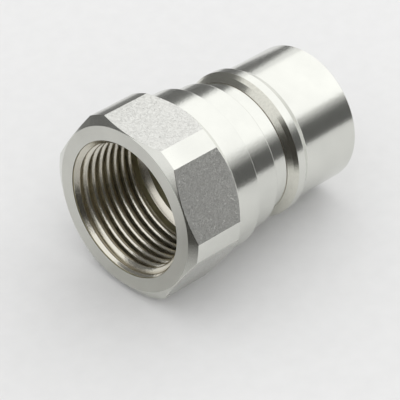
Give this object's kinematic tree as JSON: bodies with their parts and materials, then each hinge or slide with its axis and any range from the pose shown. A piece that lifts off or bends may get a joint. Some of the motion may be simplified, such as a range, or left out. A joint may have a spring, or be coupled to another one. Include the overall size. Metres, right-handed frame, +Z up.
{
  "type": "quick coupling nipple",
  "caption": "Turned steel nipple of a hydraulic quick coupling: hexagon with a female pipe thread, locking groove, sealing nose and a sprung poppet valve inside.",
  "frame": {"origin": "on the table, under the middle of the nipple as it lies", "axes": "+Z up; +X along the table, from the threaded port towards the nose"},
  "size_m": [0.0618, 0.0446, 0.0422],
  "materials": {
    "body_steel": "turned",
    "valve_steel": "turned",
    "spring_steel": "drawn wire",
    "seal_rubber": "matte"
  },
  "bodies": {
    "nipple": {"nipple_body": "body_steel", "valve_guide": "valve_steel", "retaining_ring": "spring_steel", "valve_spring": "spring_steel"},
    "poppet": {"valve_poppet": "valve_steel", "poppet_seal": "seal_rubber"}
  },
  "joints": [
    {"name": "poppet_slide", "type": "slide", "parent": "nipple", "child": "poppet", "axis": [-0.9965, 0, 0.0838], "range_m": [0, 0.0065], "stiffness_N_per_m": 3300, "springref_m": -0.006, "deforming": ["valve_spring"]}
  ]
}
